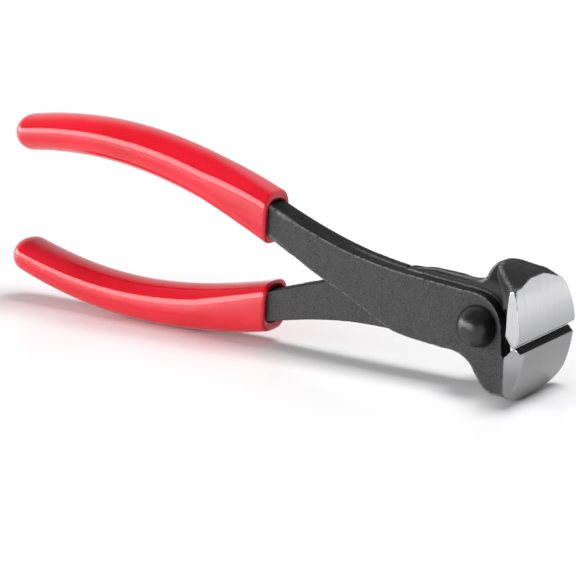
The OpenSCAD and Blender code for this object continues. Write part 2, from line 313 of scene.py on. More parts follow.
@dataclass(frozen=True)
class ForgedSteel:
    """Blasted, blackened forging with trimmed edges, and bright ground jaws."""

    name: str
    dark_speck: float = 0.034
    light_speck: float = 0.094
    blotched: float = 0.0713
    blotch_share: float = 0.5
    # Greys of the black skin: trimmed edges and the jaw's bevel, and painted shade on the edges
    # and the head.
    trim_and_shade_dark: float = 0.006
    trim_and_shade_light: float = 0.0132
    # Grey of bare steel where the skin is worn, also used for painted highlight lines.
    bare_and_highlit: float = 0.27
    # Greys of the ground front face and ground ends; they differ to set how bright each face
    # looks, as painted shade.
    ground: float = 0.6
    mark_dull: float = 0.9
    cloud_dull: float = 0.78
    cloud_share: float = 0.35
    # Painted shade: the ground front face darkens towards the cutting edge, over the heights in
    # lip_v.
    lip_shade: float = 0.45
    lip_share: float = 0.75
    lip_v: Span = Span(9.0, 1.0)
    end: float = 0.42
    ground_border: Span = Span(0.38, 0.62)
    grain: Pattern = Pattern(sized(0.3), 3.0, Span(0.33, 0.67))
    blotch: Pattern = Pattern(sized(3.5), 3.0, Span(0.35, 0.65))
    chip: Pattern = Pattern(sized(0.9), 4.0, Span(0.3, 0.56))
    mark: Pattern = Pattern(1.3, 4.0, Span(0.3, 0.7))
    mark_stretch: Triple = (5.0, 1.0, 0.12)
    cloud: Pattern = Pattern(1.0, 2.0, Span(0.4, 0.8))
    cloud_stretch: Triple = (0.5, 1.0, 0.1)
    forged_rough: Pair = (0.62, 0.9)
    trim_and_shade_rough: float = 0.7
    bare_rough: float = 0.45
    ground_rough: Pair = (0.18, 0.28)
    end_rough: float = 0.13
    bare_metal: float = 0.6
    trim_and_shade_relief: float = 0.25
    mark_relief: float = 0.12
    relief: Pair = (0.3, 0.07)
    gloss: float = 0.2
    shift: float = 0.0

    def material(self) -> bpy.types.Material:
        """Builds the material.

        Returns:
            The finished material.
        """
        n = Nodes(bpy.data.materials.new(self.name))
        place = n.add("TexCoord").outputs["Object"]
        moved = n.add("Mapping", {"Vector": place, "Location": (self.shift, 0.0, 0.0)}).outputs[0]
        along = n.add("Attribute", attribute_name="grind").outputs["Vector"]
        ground = n.stretch(n.share("ground"), self.ground_border)
        # Black skin includes painted shade, worn skin includes painted highlights, and the ends'
        # grey is painted shading.
        trim_and_shade, end = n.share("trim_and_shade"), n.share("end")
        grain, blotch = n.noise(moved, self.grain), n.noise(moved, self.blotch)
        marks = n.noise(n.scaled(along, self.mark_stretch), self.mark)
        worn_and_highlit = n.clear(n.noise(moved, self.chip), self.chip)
        bare_and_highlit = n.math("MULTIPLY", n.share("worn_and_highlit"), worn_and_highlit, clamp=True)
        forged = self.forged_colour(n, grain, blotch, trim_and_shade)
        skin = n.mix(bare_and_highlit, forged, grey(self.bare_and_highlit))
        steel = n.mix(end, self.ground_colour(n, along, marks), grey(self.end))
        rough = n.blend(trim_and_shade, n.blend(grain, *self.forged_rough), self.trim_and_shade_rough)
        polish = n.blend(end, n.blend(marks, *self.ground_rough), self.end_rough)
        grained = n.math("MULTIPLY", grain, n.blend(trim_and_shade, 1.0, self.trim_and_shade_relief))
        height = n.blend(ground, grained, n.math("MULTIPLY", marks, self.mark_relief))
        shader = n.add("BsdfPrincipled", {
            "Base Color": n.mix(ground, skin, steel),
            "Roughness": n.blend(ground, n.blend(bare_and_highlit, rough, self.bare_rough), polish),
            "Metallic": n.math("MAXIMUM", ground, n.math("MULTIPLY", bare_and_highlit, self.bare_metal)),
            "Normal": n.relief(height, *self.relief),
            "Specular IOR Level": self.gloss,
        })
        return n.surface(shader.outputs[0])

    def forged_colour(self, n: Nodes, grain: Socket, blotch: Socket, trim_and_shade: Socket) -> Socket:
        """Colours the blasted skin and the black skin of trimmed edges and painted shade.

        Args:
            n: The material's nodes.
            grain: Noise of the blasting.
            blotch: Noise of the blackening.
            trim_and_shade: Share of black skin: trimmed edges and painted shade.

        Returns:
            The colour.
        """
        speck = n.mix(n.clear(grain, self.grain), grey(self.dark_speck), grey(self.light_speck))
        blotched = n.clear(blotch, self.blotch, self.blotch_share)
        face = n.mix(blotched, speck, grey(self.blotched))
        edge = n.mix(n.clear(blotch, self.blotch), grey(self.trim_and_shade_dark), grey(self.trim_and_shade_light))
        return n.mix(trim_and_shade, face, edge)

    def ground_colour(self, n: Nodes, along: Socket, marks: Socket) -> Socket:
        """Colours the ground steel, with painted shade that darkens it towards the cutting edge.

        Args:
            n: The material's nodes.
            along: Coordinates across, through and along the grinding.
            marks: Noise of the grinding marks.

        Returns:
            The colour.
        """
        dull = grey(self.ground * self.mark_dull)
        steel = n.mix(n.clear(marks, self.mark), dull, grey(self.ground))
        cloud = n.noise(n.scaled(along, self.cloud_stretch), self.cloud)
        clouded = n.clear(cloud, self.cloud, self.cloud_share)
        steel = n.mix(clouded, steel, grey(self.ground * self.cloud_dull))
        rise = n.add("SeparateXYZ", {0: along}).outputs["Z"]
        # Painted shade towards the cutting edge.
        near_lip = n.stretch(rise, self.lip_v, 0.0, self.lip_share)
        return n.mix(near_lip, steel, grey(self.ground * self.lip_shade))


@dataclass(frozen=True)
class RivetSteel:
    """Dark satin of the rivet heads, rubbed smooth by their forming tool."""

    name: str
    dark: float = 0.005
    light: float = 0.012
    cloud: Pattern = Pattern(sized(1.6), 4.0, Span(0.35, 0.65))
    grain: Pattern = Pattern(sized(0.25), 2.0)
    rough: Pair = (0.26, 0.38)
    relief: Pair = (0.18, 0.06)
    gloss: float = 0.6

    def material(self) -> bpy.types.Material:
        """Builds the material.

        Returns:
            The finished material.
        """
        n = Nodes(bpy.data.materials.new(self.name))
        place = n.add("TexCoord").outputs["Object"]
        cloud, grain = n.noise(place, self.cloud), n.noise(place, self.grain)
        shader = n.add("BsdfPrincipled", {
            "Base Color": n.mix(n.clear(cloud, self.cloud), grey(self.dark), grey(self.light)),
            "Roughness": n.blend(grain, *self.rough),
            "Metallic": 0.0,
            "Normal": n.relief(grain, *self.relief),
            "Specular IOR Level": self.gloss,
        })
        return n.surface(shader.outputs[0])


@dataclass(frozen=True)
class GripPlastic:
    """Glossy moulded plastic."""

    name: str
    deep: Colour = (0.66, 0.0065, 0.018, 1.0)
    fresh: Colour = (0.75, 0.0105, 0.029, 1.0)
    cloud: Pattern = Pattern(sized(14.0), 2.0, Span(0.3, 0.7))
    skin: Pattern = Pattern(sized(0.7), 2.0, Span(0.3, 0.7))
    skin_height: float = 0.08
    flow: Pattern = Pattern(sized(9.0), 1.0)
    rough: Pair = (0.3, 0.38)
    relief: Pair = (0.12, 0.25)
    coat_rough: float = 0.08
    coat_ior: float = 1.5

    def material(self) -> bpy.types.Material:
        """Builds the material.

        Returns:
            The finished material.
        """
        n = Nodes(bpy.data.materials.new(self.name))
        place = n.add("TexCoord").outputs["Object"]
        cloud, skin = n.noise(place, self.cloud), n.noise(place, self.skin)
        fine = n.math("MULTIPLY", skin, self.skin_height)
        height = n.math("ADD", fine, n.noise(place, self.flow))
        bump = n.relief(height, *self.relief)
        shader = n.add("BsdfPrincipled", {
            "Base Color": n.mix(n.clear(cloud, self.cloud), self.deep, self.fresh),
            "Roughness": n.blend(n.clear(skin, self.skin), *self.rough),
            "Normal": bump,
            "Specular IOR Level": 0.0,
            "Coat Weight": 1.0,
            "Coat Roughness": self.coat_rough,
            "Coat IOR": self.coat_ior,
            "Coat Normal": bump,
        })
        return n.surface(shader.outputs[0])


def finished(name: str, mesh: bpy.types.Mesh, material: bpy.types.Material) -> bpy.types.Object:
    """Makes a smooth-shaded object of a mesh.

    Args:
        name: Object name.
        mesh: Its mesh.
        material: Its material.

    Returns:
        The object, in the scene.
    """
    mesh.materials.clear()
    mesh.materials.append(material)
    mesh.polygons.foreach_set("use_smooth", np.ones(len(mesh.polygons), dtype=bool))
    piece = bpy.data.objects.new(name, mesh)
    bpy.context.scene.collection.objects.link(piece)
    return piece


def ring_faces(rings: int, around: int, closed: bool = True) -> list[list[int]]:
    """Joins one first point, rings of points in order, and one last point.

    Args:
        rings: How many rings.
        around: Points in each ring.
        closed: Whether there is a last point, which closes the last ring.

    Returns:
        The point numbers of each face.
    """
    turns = [(i, (i + 1) % around) for i in range(around)]
    faces = [[0, 1 + i, 1 + j] for i, j in turns]
    for k in range(rings - 1):
        a, b = 1 + k * around, 1 + (k + 1) * around
        faces += [[a + i, b + i, b + j, a + j] for i, j in turns]
    if closed:
        start = 1 + (rings - 1) * around
        faces += [[start + around, start + j, start + i] for i, j in turns]
    return faces


@dataclass
class Piece:
    """A dressed piece, which rides on a body and stands for one CAD node."""

    name: str
    node: str
    body: str
    slot: str
    finish: ForgedSteel | RivetSteel | GripPlastic

    def dress(self, mesh: bpy.types.Mesh) -> bpy.types.Object:
        """Makes the piece's object and reports it.

        Args:
            mesh: The finished mesh.

        Returns:
            The object, riding on its body in place of the CAD node.
        """
        piece = finished(self.name, mesh, self.finish.material())
        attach(piece, self.body)
        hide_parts(self.node)
        LOG.info("%s: %d faces", self.name, len(mesh.polygons))
        return piece


@dataclass(frozen=True)
class Head:
    """How one hammered head differs from the even CAD form: corners, brow, neck and flank."""

    corner_w: tuple[float, ...]
    corner_drop: tuple[float, ...]
    brow_w: tuple[float, ...] = (0.0, 1.0)
    brow_drop: tuple[float, ...] = (0.0, 0.0)
    face_lift: float = 1.0
    neck_push: float = 0.0
    flank_swell: float = 0.0
    edge_raise: float = 0.0
    end_lean: float = 0.0
    lean_from_u: float = 13.4
    lean_rise: float = 0.3
    corner_u: Span = Span(-4.0, 2.0)
    raised_v: Span = Span(5.0, 12.0)
    dropped_v: Span = Span(1.0, 13.0)
    face_u: Span = Span(14.3, 15.8)
    brow_u: Span = Span(11.5, 14.5)
    brow_v: Span = Span(11.0, 16.0)
    neck_u: Band = Band(-15.0, -6.0, 1.0, 9.0)
    neck_v: Span = Span(8.8, 15.0)
    flank_behind: Band = Band(0.5, 5.0, 9.0, 14.5)
    flank_u: Span = Span(7.0, 13.0)
    flank_v: Span = Span(9.5, 15.0)
    edge_u: Band = Band(-23.0, -17.0, -5.0, 0.0)
    edge_v: Band = Band(5.0, 8.3, 10.0, 15.0)

    def end_cut(self, u: np.ndarray, v: np.ndarray) -> np.ndarray:
        """How far in from the jaw's full width the near end is ground, at each place."""
        over = np.maximum(u - self.lean_from_u, 0.0)
        return self.end_lean * (over + self.lean_rise * np.maximum(v, 0.0))

    def shape(self, points: np.ndarray) -> np.ndarray:
        """Moves the points of the head.

        Args:
            points: Flat points.

        Returns:
            The moved points.
        """
        u, w, v = points.T.copy()
        drop = np.interp(w, self.corner_w, self.corner_drop)
        lifted = 1.0 - (1.0 - self.face_lift) * self.face_u.rise(u)
        raised = drop * lifted * self.raised_v.rise(v)
        drop = np.where(drop < 0.0, raised, drop * self.dropped_v.rise(v)) * self.corner_u.rise(u)
        brow = np.interp(w, self.brow_w, self.brow_drop) * self.brow_u.rise(u)
        brow *= self.brow_v.rise(v)
        back = self.neck_push * self.neck_v.rise(v) * self.neck_u.share(u)
        swell = self.flank_swell * self.flank_behind.share(-w)
        swell *= self.flank_v.rise(v) * self.flank_u.fall(u)
        lift = self.edge_raise * self.edge_v.share(v) * self.edge_u.share(u)
        return np.stack([u - back - swell, w, v - drop - brow + lift], axis=1)


UPPER_HEAD = Head(
    corner_w=(-14.8, -14.2, -13.5, -12.5, -11.0, -9.5, 8.0, 9.5, 11.0, 12.9, 14.2, 14.8),
    corner_drop=(-3.4, -2.6, -1.6, -0.8, -0.2, 0.0, 0.0, 0.3, 1.4, 4.2, 6.2, 8.2),
    brow_w=(1.0, 3.8, 6.6, 9.5, 11.0, 13.0),
    brow_drop=(0.0, 0.7, 1.3, 1.0, 0.9, 0.4),
    face_lift=0.25,
    neck_push=1.8,
    flank_swell=2.0,
    edge_raise=0.7,
)
LOWER_HEAD = Head(
    corner_w=(11.0, 12.5, 13.5, 14.2, 14.8),
    corner_drop=(0.0, -0.5, -1.2, -2.0, -2.8),
    end_lean=0.42,
)


class Net:
    """The neighbours of each point of a mesh."""

    def __init__(self, mesh: bpy.types.Mesh) -> None:
        """Reads the edges.

        Args:
            mesh: The mesh.
        """
        pairs = np.empty(len(mesh.edges) * 2, dtype=np.int64)
        mesh.edges.foreach_get("vertices", pairs)
        self.a, self.b = pairs.reshape(-1, 2).T
        self.count = len(mesh.vertices)
        self.degree = np.bincount(pairs, minlength=self.count)

    def means(self, values: np.ndarray) -> np.ndarray:
        """Mean of the values of each point's neighbours."""
        forth = np.bincount(self.a, values[self.b], self.count)
        return (forth + np.bincount(self.b, values[self.a], self.count)) / self.degree

    def middles(self, points: np.ndarray) -> np.ndarray:
        """Middle of each point's neighbours."""
        return np.stack([self.means(x) for x in points.T], axis=1)


@dataclass(frozen=True)
class Easing:
    """How far a forging is rounded: hammered head most, cutting edge and bore not at all."""

    rounds: int = 26
    handle: float = 0.13
    head_gain: float = 0.37
    head_u: Span = Span(-11.0, -7.0)
    head_v: Span = Span(6.0, 9.0)
    lap: float = 0.015
    lap_w: float = 0.35
    lap_u: float = 9.5
    lap_v: float = 9.4
    blade_u: Span = Span(10.0, 12.0)
    blade_v: Span = Span(3.0, 5.5)
    bore_r: float = 4.5

    def share(self, points: np.ndarray) -> np.ndarray:
        """How far each point takes part.

        Args:
            points: Flat points.

        Returns:
            A share for each point.
        """
        u, w, v = points.T
        head = self.head_u.rise(u) * self.head_v.rise(v)
        soft = self.handle + self.head_gain * head
        lapped = (w < self.lap_w) & (u < self.lap_u) & (np.abs(v) < self.lap_v)
        soft = np.where(lapped, self.lap, soft)
        soft = soft * (1.0 - self.blade_u.rise(u) * self.blade_v.fall(v))
        return np.where(np.hypot(u, v) < self.bore_r, 0.0, soft)


@dataclass(frozen=True)
class ForgedSkin:
    """Draft of the trimmed edges from the parting line, and unevenness of all forged skin."""

    draft: float = math.tan(math.radians(1.5))
    parting_w: float = 0.05
    plate_t: float = 5.0
    edge_slant: Span = Span(0.5, 0.8)
    handle_u: Span = Span(-16.0, -10.0)
    free_v: Span = Span(0.0, 4.0)
    inner_gain: float = 0.5
    inner_facing: Span = Span(0.3, 0.7)
    inner_u: Span = Span(-50.0, -40.0)
    forged_w: Span = Span(0.3, 1.2)
    forged_u: Span = Span(10.5, 12.5)
    bore_r: Span = Span(4.5, 6.5)
    waves: Pair = (2.4, 8.0)
    wave_level: float = 0.5
    uneven: float = 0.07

    def outward(self, points: np.ndarray, out: np.ndarray, seed: int) -> np.ndarray:
        """How far out each point moves.

        Args:
            points: Flat points.
            out: Outward directions.
            seed: Seed of the unevenness.

        Returns:
            A distance for each point, below 0 where it moves in.
        """
        u, w, v = points.T
        handle = self.edge_slant.fall(np.abs(out[:, 1])) * self.handle_u.fall(u)
        free = self.plate_t * self.free_v.rise(-v)
        fall = self.draft * (np.abs(w - self.parting_w) - free) * handle
        fall -= self.inner_gain * self.inner_facing.rise(out[:, 2]) * self.inner_u.fall(u)
        forged = self.forged_w.rise(w) * self.forged_u.fall(u)
        wave = Unevenness(seed, *self.waves).at(points) - self.wave_level
        dents = np.minimum(wave, 0.0) * self.uneven
        return dents * forged * self.bore_r.rise(np.hypot(u, v)) - fall


@dataclass(frozen=True)
class TrimAndShade:
    """Black skin of a forging: trimmed edges, partly painted shade, the jaw's bevel, and painted
    shade on the head.
    """

    edge_slant: Span = Span(0.55, 0.85)
    blasted: float = 0.75
    blasted_u: Span = Span(-24.0, -16.0)
    blasted_v: Span = Span(4.0, 9.0)
    notch_u: Span = Span(12.6, 13.4)
    notch_below: float = 0.06
    notch_facing: float = 0.2
    head_u: Span = Span(-9.0, -5.0)
    head_v: Span = Span(9.0, 12.0)
    # Painted shade: the head's crown and the flank facing away from its own plate are darkened
    # with black skin.
    crown_shade: float = 0.8
    crown_facing: Span = Span(0.35, 0.8)
    flank_shade: float = 0.9
    flank_facing: Span = Span(0.45, 0.8)

    def head(self, points: np.ndarray) -> np.ndarray:
        """Share of the head at each point."""
        return self.head_u.rise(points[:, 0]) * self.head_v.rise(points[:, 2])

    def share(self, points: np.ndarray, out: np.ndarray, lip_rise: float) -> np.ndarray:
        """Share of black skin at each point, painted shade included.

        Args:
            points: Flat points.
            out: Outward directions.
            lip_rise: Height of the ground face's lower border.

        Returns:
            The shares.
        """
        u, _, v = points.T
        # Edges are black: partly their own trimmed skin, partly painted shade.
        edge = self.edge_slant.fall(np.abs(out[:, 1]))
        edge = edge * (1.0 - self.blasted * self.blasted_u.rise(u) * self.blasted_v.rise(v))
        notch = self.notch_u.rise(u) * (v < lip_rise - self.notch_below)
        notch = notch * (out[:, 0] > self.notch_facing)
        # Painted shade on the head's crown and on its flank facing away from its plate.
        crown = self.crown_shade * self.crown_facing.rise(out[:, 2])
        flank = self.flank_shade * self.flank_facing.rise(-out[:, 1])
        head_shade = self.head(points) * np.maximum(crown, flank)
        return np.maximum(np.maximum(edge, notch), head_shade)


@dataclass(frozen=True)
class WearAndHighlights:
    """Where a forging's skin is worn through to the steel, and where a painted highlight is laid
    as wear.
    """

    rim: Band = Band(0.25, 0.45, 0.86, 0.975)
    rim_w: float = 0.2
    rim_u: Span = Span(9.0, 11.0)
    spread_rounds: int = 6
    spread: Span = Span(0.0, 0.4)
    spread_facing: float = 0.2
    spread_u: Span = Span(-67.0, -57.0)
    ridge: Span = Span(0.008, 0.022)
    ridge_share: float = 0.6
    # Painted highlight: a bright line along the edge by the lap, where its rounded arris catches
    # light.
    back_w: Band = Band(-0.2, 0.1, 0.9, 1.8)
    back_u: Band = Band(-46.0, -38.0, 6.0, 9.0)
    back_facing: Span = Span(0.15, 0.5)
    back_faint: float = 0.35
    back_full_u: Span = Span(-28.0, -21.0)

    def share(
        self, points: np.ndarray, out: np.ndarray, net: Net, head: np.ndarray
    ) -> np.ndarray:
        """Share of worn skin at each point: rims, chips near them and ridges, and a painted
        highlight along the back edge.

        Args:
            points: Flat points.
            out: Outward directions.
            net: The neighbours of the points.
            head: Share of the head at each point.

        Returns:
            The shares.
        """
        u, w, _ = points.T
        rim = self.rim.share(np.abs(out[:, 1])) * (w > self.rim_w)
        spread = rim
        for _ in range(self.spread_rounds):
            spread = net.means(spread)
        below = (out[:, 2] < self.spread_facing) * self.spread_u.fall(u)
        proud = self.ridge.rise(((points - net.middles(points)) * out).sum(axis=1))
        back = self.back_w.share(w) * self.back_u.share(u) * self.back_facing.rise(-out[:, 2])
        full = self.back_faint + (1.0 - self.back_faint) * self.back_full_u.rise(u)
        worn_and_highlit = np.maximum(rim * self.rim_u.fall(u), self.spread.rise(spread) * below)
        worn_and_highlit = np.maximum(worn_and_highlit, self.ridge_share * proud * head * (out[:, 2] > 0.0))
        return np.maximum(worn_and_highlit, back * full)


@dataclass(frozen=True)
class TopBands:
    """Painted highlight lines, laid as worn skin, and lighter and darker bands along the plate's
    upper edge, behind the joint.
    """

    # Along w: painted highlight lines laid as worn skin, and darker and lighter bands of black
    # skin.
    w: tuple[float, ...] = (0.8, 1.4, 2.8, 3.3, 4.0, 4.4)
    worn_and_highlit: tuple[float, ...] = (0.0, 0.45, 0.45, 0.0, 0.0, 0.6)
    trim_and_shade: tuple[float, ...] = (1.0, 0.2, 0.2, 1.0, 1.0, 0.2)
    u: Band = Band(-27.0, -20.0, -8.0, -4.0)
    v: Span = Span(5.0, 7.0)
    facing: Span = Span(0.15, 0.5)

    def lay(
        self, points: np.ndarray, out: np.ndarray, trim_and_shade: np.ndarray, worn_and_highlit: np.ndarray
    ) -> tuple[np.ndarray, np.ndarray]:
        """Lays the bands over the shares of black skin and of worn skin with painted highlights.

        Args:
            points: Flat points.
            out: Outward directions.
            trim_and_shade: Share of black skin, painted shade included, at each point.
            worn_and_highlit: Share of worn skin, painted highlights included, at each point.

        Returns:
            Both shares with the bands.
        """
        u, w, v = points.T
        top = self.facing.rise(out[:, 2]) * self.u.share(u) * self.v.rise(v)
        worn_and_highlit = np.maximum(worn_and_highlit, top * np.interp(w, self.w, self.worn_and_highlit))
        return trim_and_shade * (1.0 - top) + top * np.interp(w, self.w, self.trim_and_shade), worn_and_highlit


@dataclass(frozen=True)
class Grinding:
    """How the jaw's faces are found, ground back and eased."""

    allowance: float = 1.6
    flush: float = 0.06
    behind_blade: float = 1.0
    cut_below: float = 0.3
    cut_from_u: float = 8.0
    hair: float = 0.01
    eased: float = 0.6
    lip_slack: float = 0.1
    blade_slack: float = 0.6
    end_facing: float = 0.35
    bevel_u: float = 12.8
    bevel_facing: float = 0.2
    crease: Span = Span(0.4, 2.8)
    crease_v: Span = Span(1.6, 2.3)
    crease_soft: float = 0.5
    crease_rounds: int = 40
    # Where the leaning near end's grey, which is painted shading, fades in from the crease and
    # out upwards.
    lighter: Span = Span(0.0, 3.5)
    lighter_v: Span = Span(3.0, 9.0)


@dataclass
class Forging(Piece):
    """One half's lever: handle, lapped plate, hollow-necked head and ground jaw."""

    side: Side
    head: Head
    seed: int
    face_reach: float = 17.45
    face_r: float = 42.0
    half_jaw: float = 14.7
    blade_back: float = 13.5
    lip_rise: float = 1.5
    net_depth: int = 9
    net_scale: float = 0.99
    weld: float = 0.001
    easing: Easing = Easing()
    skin: ForgedSkin = ForgedSkin()
    trim_and_shade: TrimAndShade = TrimAndShade()
    wear_and_highlights: WearAndHighlights = WearAndHighlights()
    bands: TopBands = TopBands()
    grinding: Grinding = Grinding()
    points: np.ndarray = field(default_factory=lambda: np.zeros((0, 3)))

    def build(self) -> bpy.types.Object:
        """Builds the dressed lever.

        Returns:
            Its object.
        """
        mesh = self.shell()
        self.read(mesh)
        self.leave_allowance()
        net = Net(mesh)
        self.ease(net, self.easing.share(self.points), self.easing.rounds)
        self.points = self.head.shape(self.points)
        self.grind()
        if self.head.end_lean:
            self.soften_crease(net)
        out = self.normals(mesh)
        self.points += out * self.skin.outward(self.points, out, self.seed)[:, None]
        self.keep_shares(mesh, net)
        return self.dress(mesh)

    def shell(self) -> bpy.types.Mesh:
        """Rebuilds the CAD solid's surface as a fine even net.

        Returns:
            The new mesh, in the row frame.
        """
        scratch = bpy.data.objects.new("scratch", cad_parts[self.node].data.copy())
        bpy.context.scene.collection.objects.link(scratch)
        weld = scratch.modifiers.new("weld", "WELD")
        weld.merge_threshold = self.weld * MM
        net = scratch.modifiers.new("net", "REMESH")
        net.mode = "SHARP"
        net.octree_depth = self.net_depth
        net.scale = self.net_scale
        net.sharpness = 1.0
        net.use_remove_disconnected = False
        depsgraph = bpy.context.evaluated_depsgraph_get()
        mesh = bpy.data.meshes.new_from_object(scratch.evaluated_get(depsgraph))
        bpy.data.objects.remove(scratch)
        mesh.name = self.name
        return mesh

    def read(self, mesh: bpy.types.Mesh) -> None:
        """Reads a mesh's points, flat.

        Args:
            mesh: The mesh, in the row frame.
        """
        places = np.empty(len(mesh.vertices) * 3)
        mesh.vertices.foreach_get("co", places)
        self.points = STAND.to_flat(places.reshape(-1, 3), self.side)

    def normals(self, mesh: bpy.types.Mesh) -> np.ndarray:
        """Writes the points back to the mesh and reads their outward directions.

        Args:
            mesh: The mesh.

        Returns:
            Rows of u, w, v directions.
        """
        mesh.vertices.foreach_set("co", STAND.to_row(self.points, self.side).ravel())
        mesh.update()
        out = np.empty(len(mesh.vertices) * 3)
        mesh.vertex_normals.foreach_get("vector", out)
        pivot = np.array(STAND.pivot) * MM
        return STAND.to_flat(out.reshape(-1, 3) * MM + pivot, self.side)

    def face_u(self, v: np.ndarray) -> np.ndarray:
        """Place of the ground front face at each height."""
        return self.face_reach - self.face_r + np.sqrt(self.face_r**2 - v * v)

    def inside(self) -> np.ndarray:
        """How far in from the near end's ground plane each point lies."""
        u, w, v = self.points.T
        return self.half_jaw - self.head.end_cut(u, v) - w

    def leave_allowance(self) -> None:
        """Moves the front face and both ends out, so that grinding them back is crisp."""
        u, w, v = self.points.T
        cut = self.grinding
        front = (u > self.face_u(v) - cut.flush) & (v > self.lip_rise - cut.flush)
        end = (np.abs(w) > self.half_jaw - cut.flush) & (u > self.blade_back - cut.behind_blade)
        self.points[front, 0] += cut.allowance
        self.points[end, 1] += cut.allowance * np.sign(self.points[end, 1])

    def ease(self, net: Net, soft: np.ndarray, rounds: int) -> None:
        """Rounds the form by easing each point, by its own share, towards its neighbours."""
        for _ in range(rounds):
            self.points += soft[:, None] * (net.middles(self.points) - self.points)

    def grind(self) -> None:
        """Grinds the front face back to its curve, and then the ends to their planes."""
        u, w, v = self.points.T
        cut = self.grinding
        u = np.minimum(u, np.where(v > self.lip_rise - cut.cut_below, self.face_u(v), np.inf))
        near_end = self.half_jaw - self.head.end_cut(u, v) * (u > cut.cut_from_u)
        self.points = np.stack([u, np.clip(w, -self.half_jaw, near_end), v], axis=1)

    def soften_crease(self, net: Net) -> None:
        """Eases the crease between the front face and a leaning near end.

        Args:
            net: The neighbours.
        """
        u, _, v = self.points.T
        cut = self.grinding
        near = cut.crease.fall(self.inside()) * cut.crease.fall(self.face_u(v) - u)
        self.ease(net, cut.crease_soft * near * cut.crease_v.rise(v), cut.crease_rounds)

    def ground_masks(self, out: np.ndarray) -> tuple[np.ndarray, np.ndarray, np.ndarray]:
        """Finds the ground faces.

        Args:
            out: Outward directions.

        Returns:
            Masks of the front face, of both ends and of the upper jaw's bevel.
        """
        u, w, v = self.points.T
        cut = self.grinding
        slack = cut.eased if self.head.end_lean else cut.hair
        front = (u > self.face_u(v) - slack) & (v > self.lip_rise - cut.lip_slack)
        end = (self.inside() < slack) | (w < cut.hair - self.half_jaw)
        end &= (u > self.blade_back - cut.blade_slack) & (np.abs(out[:, 1]) > cut.end_facing)
        bevel = (u > cut.bevel_u) & (v < self.lip_rise) & (out[:, 0] > cut.bevel_facing)
        return front, end, bevel & (self.side == Side.JAW_UP)

    def keep_shares(self, mesh: bpy.types.Mesh, net: Net) -> None:
        """Keeps on the mesh where it is ground, black (painted shade too), worn (painted
        highlights too), and how the grinding runs.

        Args:
            mesh: The mesh, which gets the points first.
            net: The neighbours of its points.
        """
        out = self.normals(mesh)
        front, end, bevel = self.ground_masks(out)
        # Black skin includes painted shade; worn skin includes painted highlight lines.
        trim_and_shade = self.trim_and_shade.share(self.points, out, self.lip_rise)
        worn_and_highlit = self.wear_and_highlights.share(self.points, out, net, self.trim_and_shade.head(self.points))
        trim_and_shade, worn_and_highlit = self.bands.lay(self.points, out, trim_and_shade, worn_and_highlit)
        u, w, v = self.points.T
        apart = end & ~front
        lighter = apart.astype(float)
        # The leaning near end's grey is painted shading; it fades in from the crease and out
        # upwards.
        if self.head.end_lean:
            cut = self.grinding
            faded = cut.lighter.fall(self.inside()) * cut.lighter_v.fall(v)
            lighter = np.where(w > 0.0, faded, lighter)
            apart &= w < 0.0
        shares = {"ground": front | end | bevel, "end": lighter, "trim_and_shade": trim_and_shade, "worn_and_highlit": worn_and_highlit}
        for name, values in shares.items():
            kept = mesh.attributes.new(name, "FLOAT", "POINT")
            kept.data.foreach_set("value", values.astype(np.float32))
        run = np.where(apart[:, None], self.points, np.stack([w, 0.0 * w, v], axis=1))
        grind = mesh.attributes.new("grind", "FLOAT_VECTOR", "POINT")
        grind.data.foreach_set("vector", run.astype(np.float32).ravel())


